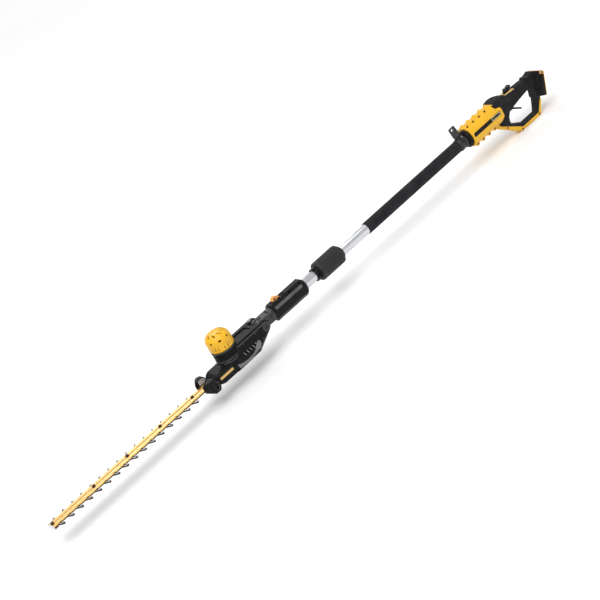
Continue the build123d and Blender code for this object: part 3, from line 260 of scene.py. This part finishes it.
# ------------------------------------------------------------------ detail pieces
def piece(name, bm, body, slot, look=None, radius=0.0):
    """Turn a bmesh into an object that rides on a body and takes a slot's finish."""
    bmesh.ops.recalc_face_normals(bm, faces=bm.faces)
    mesh = bpy.data.meshes.new(name)
    bm.to_mesh(mesh)
    bm.free()
    made = bpy.data.objects.new(name, mesh)
    bpy.context.scene.collection.objects.link(made)
    mesh.materials.append(look or LOOKS[slot])
    if radius:
        soften(made, radius, weld=False)
    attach(made, body)
    return made


def prism(bm, outline, lift):
    """Closed prism: outline is a list of points in space, lift the vector to its other face."""
    low = [bm.verts.new(p) for p in outline]
    high = [bm.verts.new(p + lift) for p in outline]
    bm.faces.new(low)
    bm.faces.new(high)
    count = len(low)
    for i in range(count):
        bm.faces.new((low[i], low[(i + 1) % count], high[(i + 1) % count], high[i]))


def side_prism(bm, outline, y, depth):
    """Prism over an outline of (x, z) stations, from y outward by depth."""
    prism(bm, [at(x, y, z) for x, z in outline], Vector((0, depth / 1000, 0)))


def top_prism(bm, outline, z, depth):
    """Prism over an outline of (x, y) stations, from z upward by depth."""
    prism(bm, [at(x, y, z) for x, y in outline], Vector((0, 0, depth / 1000)))


def ribbon(bm, outer, inner, lift, closed=False):
    """Ribbon between two lines of places, lift thick, with no walls inside it."""
    rows = [[bm.verts.new(p) for p in line] for line in (outer, inner)]
    rows += [[bm.verts.new(p + lift) for p in line] for line in (inner, outer)]
    count = len(outer)
    for i in range(count if closed else count - 1):
        k = (i + 1) % count
        for here, there in zip(rows, rows[1:] + rows[:1]):
            bm.faces.new((here[i], here[k], there[k], there[i]))
    if not closed:
        for end in (0, -1):
            bm.faces.new([row[end] for row in rows])


def rounded_bar(x0, x1, z0, z1, corner, steps=5):
    """Outline of a rectangle with round corners."""
    points = []
    for cx, cz, start in ((x1 - corner, z1 - corner, 0), (x0 + corner, z1 - corner, 90),
                          (x0 + corner, z0 + corner, 180), (x1 - corner, z0 + corner, 270)):
        for i in range(steps + 1):
            turn = math.radians(start + 90 * i / steps)
            points.append((cx + corner * math.cos(turn), cz + corner * math.sin(turn)))
    return points


def lathe(bm, centre, profile, steps=72):
    """Ring turned about a vertical axis through a station; profile is a closed line of (radius, z)."""
    rings = []
    for i in range(steps):
        turn = 2 * math.pi * i / steps
        rings.append([bm.verts.new(at(centre + r * math.cos(turn), r * math.sin(turn), z))
                      for r, z in profile])
    count = len(profile)
    for i in range(steps):
        here, there = rings[i], rings[(i + 1) % steps]
        for k in range(count):
            bm.faces.new((here[k], there[k], there[(k + 1) % count], here[(k + 1) % count]))


def wire(bm, points, radius, steps=8):
    """Round bead along a list of places, closed at its ends."""
    rings = []
    for i, spot in enumerate(points):
        ahead = points[min(i + 1, len(points) - 1)] - points[max(i - 1, 0)]
        first = ahead.cross(Vector((0, 1, 0))).normalized()
        second = ahead.cross(first).normalized()
        turns = [2 * math.pi * k / steps for k in range(steps)]
        rings.append([bm.verts.new(spot + (first * math.cos(t) + second * math.sin(t)) * radius / 1000)
                      for t in turns])
    for here, there in zip(rings, rings[1:]):
        for k in range(steps):
            bm.faces.new((here[k], there[k], there[(k + 1) % steps], here[(k + 1) % steps]))
    bm.faces.new(rings[0])
    bm.faces.new(rings[-1])


def smooth_path(stations, y, rounds=3):
    """Stations (x, z) with their corners cut round, as places at one y."""
    for _ in range(rounds):
        cut = [stations[0]]
        for (ax, az), (bx, bz) in zip(stations, stations[1:]):
            cut.append((ax * 0.75 + bx * 0.25, az * 0.75 + bz * 0.25))
            cut.append((ax * 0.25 + bx * 0.75, az * 0.25 + bz * 0.75))
        stations = cut + [stations[-1]]
    return [at(x, y, z) for x, z in stations]


# ------------------------------------------------------------------ blades and their bar
TOOTH_PITCH = 32.4
FIRST_TOOTH_X = -773.6
TOOTH_COUNT = 16
# Front and rear cutting edge of a tooth, from its middle, and how far each bevel reaches into the tooth.
TOOTH_EDGES = (
    ([(-8.4, 10.8), (-1.9, 21.2), (3.3, 30.0)], 2.3),
    ([(9.6, 28.2), (6.6, 22.0), (8.6, 12.0)], -1.9),
)
UPPER_BLADE_TOP_Z = -31.3
LOWER_BLADE_TOP_Z = -36.32
BEVEL_T = 0.12

BAR_XS = (-778, -212)
BAR_LAND_Z = -27.5
BAR_LAND_T = 0.18
CHANNEL_Z = -28.95
CHANNEL_T = 0.12
BAR_WAVES = 19
STEPS_PER_WAVE = 12

FIRST_BOLT_X = -276.5
BOLT_PITCH = 121.2
BOLT_COUNT = 4


def ground_edges(name, body, z):
    """Bright ground bevels along both cutting edges of every tooth of one blade."""
    bm = bmesh.new()
    for i in range(TOOTH_COUNT):
        x = FIRST_TOOTH_X + i * TOOTH_PITCH
        for side in (-1, 1):
            for edge, inward in TOOTH_EDGES:
                outer = [(x + dx, side * dy) for dx, dy in edge]
                inner = [(px + inward, py) for px, py in reversed(outer)]
                top_prism(bm, outer + inner, z, BEVEL_T)
    piece(name, bm, body, "bright_steel")


ground_edges("upper_blade_ground_edges", "upper_blade", UPPER_BLADE_TOP_Z)
ground_edges("lower_blade_ground_edges", "lower_blade", LOWER_BLADE_TOP_Z)


def bar_facings():
    """Pale wavy strips on the bar's two lands, and a dark strip in its channel as painted shade in the groove."""
    bm = bmesh.new()
    steps = BAR_WAVES * STEPS_PER_WAVE
    start_x, end_x = BAR_XS
    for side in (-1, 1):
        outer, inner = [], []
        for i in range(steps + 1):
            x = start_x + (end_x - start_x) * i / steps
            wave = math.sin(2 * math.pi * (x - FIRST_TOOTH_X) / TOOTH_PITCH)
            outer.append(at(x, side * (11.2 + 0.9 * wave), BAR_LAND_Z))
            inner.append(at(x, side * 6.6, BAR_LAND_Z))
        ribbon(bm, outer, inner, Vector((0, 0, BAR_LAND_T / 1000)))
    piece("bar_lands", bm, "head", "gold_aluminium",
          metal("bar_land", (0.93, 0.68, 0.34), 0.3, scale=900.0))
    # The channel strip is a darker copy of the bar's gold: painted shade in the groove.
    bm = bmesh.new()
    top_prism(bm, rounded_bar(-776, -206, -2.2, 2.2, 2.0), CHANNEL_Z, CHANNEL_T)
    piece("bar_channel_painted_shade", bm, "head", "gold_aluminium",
          metal("bar_channel_painted_shade", (0.30, 0.15, 0.05), 0.45, scale=900.0))


bar_facings()


def bolt_ends():
    """Domed orange thread ends in the nuts on the bar."""
    bm = bmesh.new()
    dome = [(2.5, -22.0), (2.3, -21.5), (1.5, -21.15), (0.3, -21.0), (0.3, -22.0)]
    for i in range(BOLT_COUNT):
        lathe(bm, FIRST_BOLT_X - BOLT_PITCH * i, dome, 20)
    piece("bolt_ends", bm, "head", "dark_steel",
          metal("bolt_end", (0.75, 0.32, 0.06), 0.35, brush=(1, 1, 1)))


bolt_ends()


# ------------------------------------------------------------------ head and barrel
MOTOR_X = (Vector(joints["rotor_spin"]["pos_m"]) - PIVOT).x * 1000
RING_R = 36.0
LIP_ZS = (-3.0, -9.5, 24.2)
LIP_R = 1.1
LIP_CORNERS = 8


def motor_details():
    """Dark liner behind the cap's openings as painted shade that makes them look dark, and the lips round the
    motor ring, their dark grey lighter than the ring as a painted highlight.
    """
    bm = bmesh.new()
    outside = [(31.3, 27), (31.3, 56.6), (25.8, 66.2), (15, 70.4)]
    inside = [(15, 69.8), (25.4, 65.6), (30.7, 56.4), (30.7, 27)]
    lathe(bm, MOTOR_X, outside + inside)
    # The black liner stands in for the shade inside the cap: painted shade behind the openings.
    piece("cap_painted_shade_liner", bm, "head", "black_plastic")
    bm = bmesh.new()
    turns = [2 * math.pi * k / LIP_CORNERS for k in range(LIP_CORNERS)]
    for z in LIP_ZS:
        lathe(bm, MOTOR_X, [(RING_R + LIP_R * math.cos(t), z + LIP_R * math.sin(t)) for t in turns], 96)
    # The lips are dark grey, lighter than the black ring: a painted highlight along its edges.
    piece("motor_ring_painted_highlight_lips", bm, "head", "black_plastic",
          plastic("ring_lip_painted_highlight", (0.05, 0.052, 0.056), 0.22, grain=900.0, depth=0.05))


motor_details()

# The barrel's slanted facets: ends of the flats along it, (y, z) of their lower and upper edge, and the
# direction in which they face.
FLAT_XS = (60, 166)
FLAT_EDGES = ((24.9, 10.0), (20.5, 18.1))
FACET_NORMAL = (0.88, 0.48)
FLAT_T = 0.6


def barrel_highlight_flats():
    """Flats on the slanted facets on both sides of the barrel, a little glossier than it and lighter grey as a
    painted highlight.
    """
    bm = bmesh.new()
    start_x, end_x = FLAT_XS
    low, high = FLAT_EDGES
    for side in (-1, 1):
        corners = ((start_x, low), (end_x, low), (end_x, high), (start_x, high))
        outline = [at(x, side * y, z) for x, (y, z) in corners]
        prism(bm, outline, Vector((0, side * FACET_NORMAL[0], FACET_NORMAL[1])) * FLAT_T / 1000)
    # The flats are lighter grey than the black barrel: a painted highlight on the facets.
    piece("barrel_highlight_flats", bm, "front_pole", "black_plastic",
          plastic("barrel_flat_painted_highlight", (0.06, 0.06, 0.065), 0.25, grain=900.0, depth=0.05))


barrel_highlight_flats()

FIRST_FIN_X = -97.5
FIN_PITCH = 11
FIN_COUNT = 5


def head_details():
    """Blank badge strips, and slanted vent fins whose light grey is a painted highlight, on both sides of the
    head.
    """
    badge, fins = bmesh.new(), bmesh.new()
    for side in (-1, 1):
        side_prism(badge, rounded_bar(-192, -143, -33, -25.5, 2.2), side * GEARCASE_SIDE_Y, side * 0.7)
        for i in range(FIN_COUNT):
            x = FIRST_FIN_X + FIN_PITCH * i
            slant = [(x, -13.4), (x + 2.4, -13.4), (x + 6.4, -23.6), (x + 4.0, -23.6)]
            side_prism(fins, slant, side * (HEAD_SIDE_Y - 0.4), side * 1.6)
    piece("badge_strips", badge, "head", "gold_aluminium",
          metal("badge", (0.62, 0.40, 0.13), 0.38, scale=700.0), radius=0.25)
    # The fins are lighter grey than the pale bands: painted highlights on the vent ribs.
    piece("vent_highlight_fins", fins, "head", "grey_plastic",
          plastic("vent_fin_painted_highlight", (0.20, 0.205, 0.215), 0.3), radius=0.3)


head_details()


def guard_painted_light():
    """Pale sheets inside both ears of the guard, above the blades: painted light on the ears' inner faces."""
    bm = bmesh.new()
    outline = [(-233, -27), (-233, -14.5), (-222, -11.5), (-212, -14.5), (-205, -25), (-205, -27)]
    for side in (-1, 1):
        side_prism(bm, outline, side * GUARD_INNER_Y, -side * 0.5)
    # Pale grey sheets on the ears: painted light where the light from above falls.
    piece("guard_painted_light", bm, "head", "grey_plastic", plastic("guard_painted_light_face", (0.36, 0.37, 0.39), 0.35))


guard_painted_light()

LINE_R = 0.7


def guard_painted_edge_highlights():
    """Fine grey beads round the pockets in both ears of the guard, painted highlights on the pocket edges."""
    bm = bmesh.new()
    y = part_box("blade_guard")[1][1] * 1000 - LINE_R
    pocket = [(-221, -29), (-221, -16), (-209, -22), (-209, -41), (-215, -45), (-221, -43), (-221, -29)]
    for side in (-1, 1):
        wire(bm, [at(x, side * y, z) for x, z in pocket], LINE_R)
    # The grey beads stand in for the bright edges of the pockets: painted highlights.
    piece("guard_painted_edge_highlights", bm, "head", "grey_plastic")


guard_painted_edge_highlights()


def band_ends():
    """Rising rear ends of the pale bands on both sides of the head."""
    bm = bmesh.new()
    outline = [(-60, -27), (-50, -20), (-43, -13.5), (-36, -17), (-36.5, -27), (-44, -36), (-52, -38)]
    for side in (-1, 1):
        side_prism(bm, outline, side * (HEAD_SIDE_Y - 0.2), side * 1.3)
    piece("band_ends", bm, "head", "grey_plastic", radius=0.4)


band_ends()


def button_windows():
    """Dark red windows on both flanks of the tilt button."""
    bm = bmesh.new()
    for side in (-1, 1):
        side_prism(bm, rounded_bar(76, 84, 29.5, 34, 1.2), side * BUTTON_SIDE_Y, side * 0.3)
    piece("button_windows", bm, "tilt_lock", "dark_steel",
          plastic("window_red", (0.16, 0.012, 0.006), 0.3))


button_windows()

# The bead passes just outside the head of the pivot bolt.
BEAD_TURN_R = 13.3
BEAD_R = 0.95


def shell_highlight_beads():
    """Raised bead that follows the outline of both head shells round the tilt pivot, its dark grey lighter than
    the shell as a painted highlight.
    """
    bm = bmesh.new()
    turns = [math.radians(a) for a in range(110, -61, -10)]
    outline = [(-104, 11.5), (-16, 11.5)]
    outline += [(BEAD_TURN_R * math.cos(turn), BEAD_TURN_R * math.sin(turn)) for turn in turns]
    outline.append((-46, -39.5))
    for side in (-1, 1):
        wire(bm, smooth_path(outline, side * (HEAD_SIDE_Y - 0.1)), BEAD_R)
    # The bead is lighter than the black shell: a painted highlight along the shell's edge.
    piece("shell_highlight_beads", bm, "head", "black_plastic",
          plastic("shell_bead_painted_highlight", (0.075, 0.076, 0.082), 0.25, depth=0.05))


shell_highlight_beads()


# ------------------------------------------------------------------ handle
PANEL_T = 0.5
OUTLINE_T = 0.35


def handle_details():
    """Dark side panels with a pale outlined field, on both sides of the housing."""
    panel, frame_line = bmesh.new(), bmesh.new()
    for side in (-1, 1):
        side_prism(panel, rounded_bar(901, 1021, 0.5, 13, 2.5), side * HOUSING_SIDE_Y, side * PANEL_T)
        outer = rounded_bar(981, 1019, 2.0, 11.6, 2.0)
        inner = rounded_bar(982.3, 1017.7, 3.3, 10.3, 1.0)
        lines = [[at(x, side * (HOUSING_SIDE_Y + PANEL_T), z) for x, z in line] for line in (outer, inner)]
        ribbon(frame_line, *lines, Vector((0, side * OUTLINE_T / 1000, 0)), closed=True)
    piece("side_panels", panel, "handle", "black_plastic")
    piece("side_panel_outlines", frame_line, "handle", "tan_plastic",
          plastic("panel_outline", (0.80, 0.66, 0.38), 0.4))


handle_details()

# Ends (x, z) of the sloping top of the battery foot, from its rear edge inward.
DOCK_TOP = ((1237, 12), (1208, 28.5))


def dock_latch():
    """Tan latch plates with dark sheets on them as painted shade of recesses, on top of the battery foot and on
    both its upper corners.
    """
    (rear_x, rear_z), (ridge_x, ridge_z) = DOCK_TOP
    corner = at(rear_x, 0, rear_z)
    inward = (at(ridge_x, 0, ridge_z) - corner).normalized() / 1000
    up = Vector((inward.z, 0, -inward.x))
    across = Vector((0, 0.001, 0))
    half_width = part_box("battery_dock")[1][1] * 1000
    plate, shade_sheet = bmesh.new(), bmesh.new()

    def tile(bm, first, second, spans, start, lift):
        """Plate between two spans, measured along two directions from the corner."""
        (a0, a1), (b0, b1) = spans
        face = [start + first * a + second * b for a, b in ((a0, b0), (a1, b0), (a1, b1), (a0, b1))]
        prism(bm, face, lift)

    tile(plate, inward, across, ((1.5, 14), (-27, 27)), corner - up * 0.2, up * 1.2)
    for y in (-15, 15):
        tile(shade_sheet, inward, across, ((4, 11), (y - 6, y + 6)), corner + up, up * 0.15)
    for side in (-1, 1):
        wall = corner + across * side * (half_width - 0.3)
        tile(plate, inward, up, ((1.5, 19), (-9, -0.5)), wall, across * side * 1.1)
        tile(shade_sheet, inward, up, ((6, 14), (-6.5, -3)), wall + across * side * 1.1, across * side * 0.15)
    piece("dock_latch", plate, "handle", "tan_plastic", plastic("latch_tan", (0.66, 0.34, 0.09), 0.38),
          radius=0.3)
    # Black sheets on the tan plates: painted shade standing in for recesses.
    piece("dock_latch_shade_sheets", shade_sheet, "handle", "black_plastic")


dock_latch()


# ------------------------------------------------------------------ springs
# Each spring: its joint, its direction, its fixed end and the share of its length left at the joint's limit.
SPRINGS = {
    "lock_spring": ("tilt_lock_draw", (1, 0, 0), at(104.6, 0, 0), 0.46),
    "trigger_spring": ("trigger_squeeze", (0, 0, 1), at(1097, 0, -8.4), 0.66),
    "lock_off_spring": ("lock_off_rock", (0, 0, 1), at(1111.3, 0, 16.5), 0.62),
}
for name, (joint, axis, fixed_end, share) in SPRINGS.items():
    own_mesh(nodes[name])


# ------------------------------------------------------------------ stage, light and camera
FLOOR_HALF = 14.0
SUN_STRENGTH = 1.5
LAMP_WATTS = 26
WORLD_STRENGTH = 0.62

# The camera's place: azimuth, elevation and roll in degrees, aim as a station, distance in metres.
CAMERA_AZIMUTH = 27.4
CAMERA_ELEVATION = 24.0
CAMERA_ROLL = 30.18
CAMERA_AIM = (150, 0, -27)
CAMERA_DISTANCE = 4.903
CAMERA_LENS = 106.3


def make_floor():
    """Large plain floor under the tool."""
    bm = bmesh.new()
    corners = [bm.verts.new((x * FLOOR_HALF, y * FLOOR_HALF, 0))
               for x, y in ((-1, -1), (1, -1), (1, 1), (-1, 1))]
    bm.faces.new(corners)
    mesh = bpy.data.meshes.new("floor")
    bm.to_mesh(mesh)
    bm.free()
    floor = bpy.data.objects.new("floor", mesh)
    bpy.context.scene.collection.objects.link(floor)
    s = Shader("floor_paint")
    s.link(s.mix(s.noise(2.0), (0.90, 0.90, 0.90), (0.93, 0.93, 0.93)), s.bsdf.inputs["Base Color"])
    s.bsdf.inputs["Roughness"].default_value = 0.9
    mesh.materials.append(s.material)


def make_light(name, spot, size):
    """Soft area light aimed at the middle of the tool."""
    data = bpy.data.lights.new(name, "AREA")
    data.shape = "DISK"
    data.size = size
    data.energy = LAMP_WATTS
    lamp = bpy.data.objects.new(name, data)
    lamp.location = spot
    lamp.rotation_mode = "QUATERNION"
    lamp.rotation_quaternion = (at(200, 0, 0) - lamp.location).to_track_quat("-Z", "Y")
    bpy.context.scene.collection.objects.link(lamp)


def make_sun():
    """Broad, even light that leaves only faint shadows."""
    data = bpy.data.lights.new("sky_panel", "SUN")
    data.energy = SUN_STRENGTH
    data.angle = math.radians(50)
    lamp = bpy.data.objects.new("sky_panel", data)
    lamp.rotation_mode = "QUATERNION"
    lamp.rotation_quaternion = Vector((0.22, 0.3, -1)).to_track_quat("-Z", "Y")
    bpy.context.scene.collection.objects.link(lamp)


def make_camera():
    """Camera in front of the tool's left side, looking down on it and rolled."""
    turn, tilt, roll = (math.radians(a) for a in (CAMERA_AZIMUTH, CAMERA_ELEVATION, CAMERA_ROLL))
    right = Vector((math.cos(turn), -math.sin(turn), 0))
    up = Vector((math.sin(turn) * math.sin(tilt), math.cos(turn) * math.sin(tilt), math.cos(tilt)))
    back = right.cross(up)
    x_axis = right * math.cos(roll) - up * math.sin(roll)
    y_axis = right * math.sin(roll) + up * math.cos(roll)
    data = bpy.data.cameras.new("camera")
    data.sensor_width = 36.0
    data.lens = CAMERA_LENS
    data.clip_end = 60.0
    camera = bpy.data.objects.new("camera", data)
    place = Matrix((x_axis, y_axis, back)).transposed().to_4x4()
    place.translation = at(*CAMERA_AIM) + back * CAMERA_DISTANCE
    camera.matrix_world = place
    bpy.context.scene.collection.objects.link(camera)
    bpy.context.scene.camera = camera


def make_world():
    """Even pale surroundings."""
    world = bpy.data.worlds.new("studio")
    world.use_nodes = True
    world.node_tree.nodes["Background"].inputs["Color"].default_value = (1, 1, 1, 1)
    world.node_tree.nodes["Background"].inputs["Strength"].default_value = WORLD_STRENGTH
    bpy.context.scene.world = world


make_floor()
make_sun()
make_light("key", (-1.8, -1.8, 3.2), 1.4)
make_light("rim", (0.6, 2.6, 2.6), 1.6)
make_camera()
make_world()
bpy.context.scene.view_settings.view_transform = "Standard"
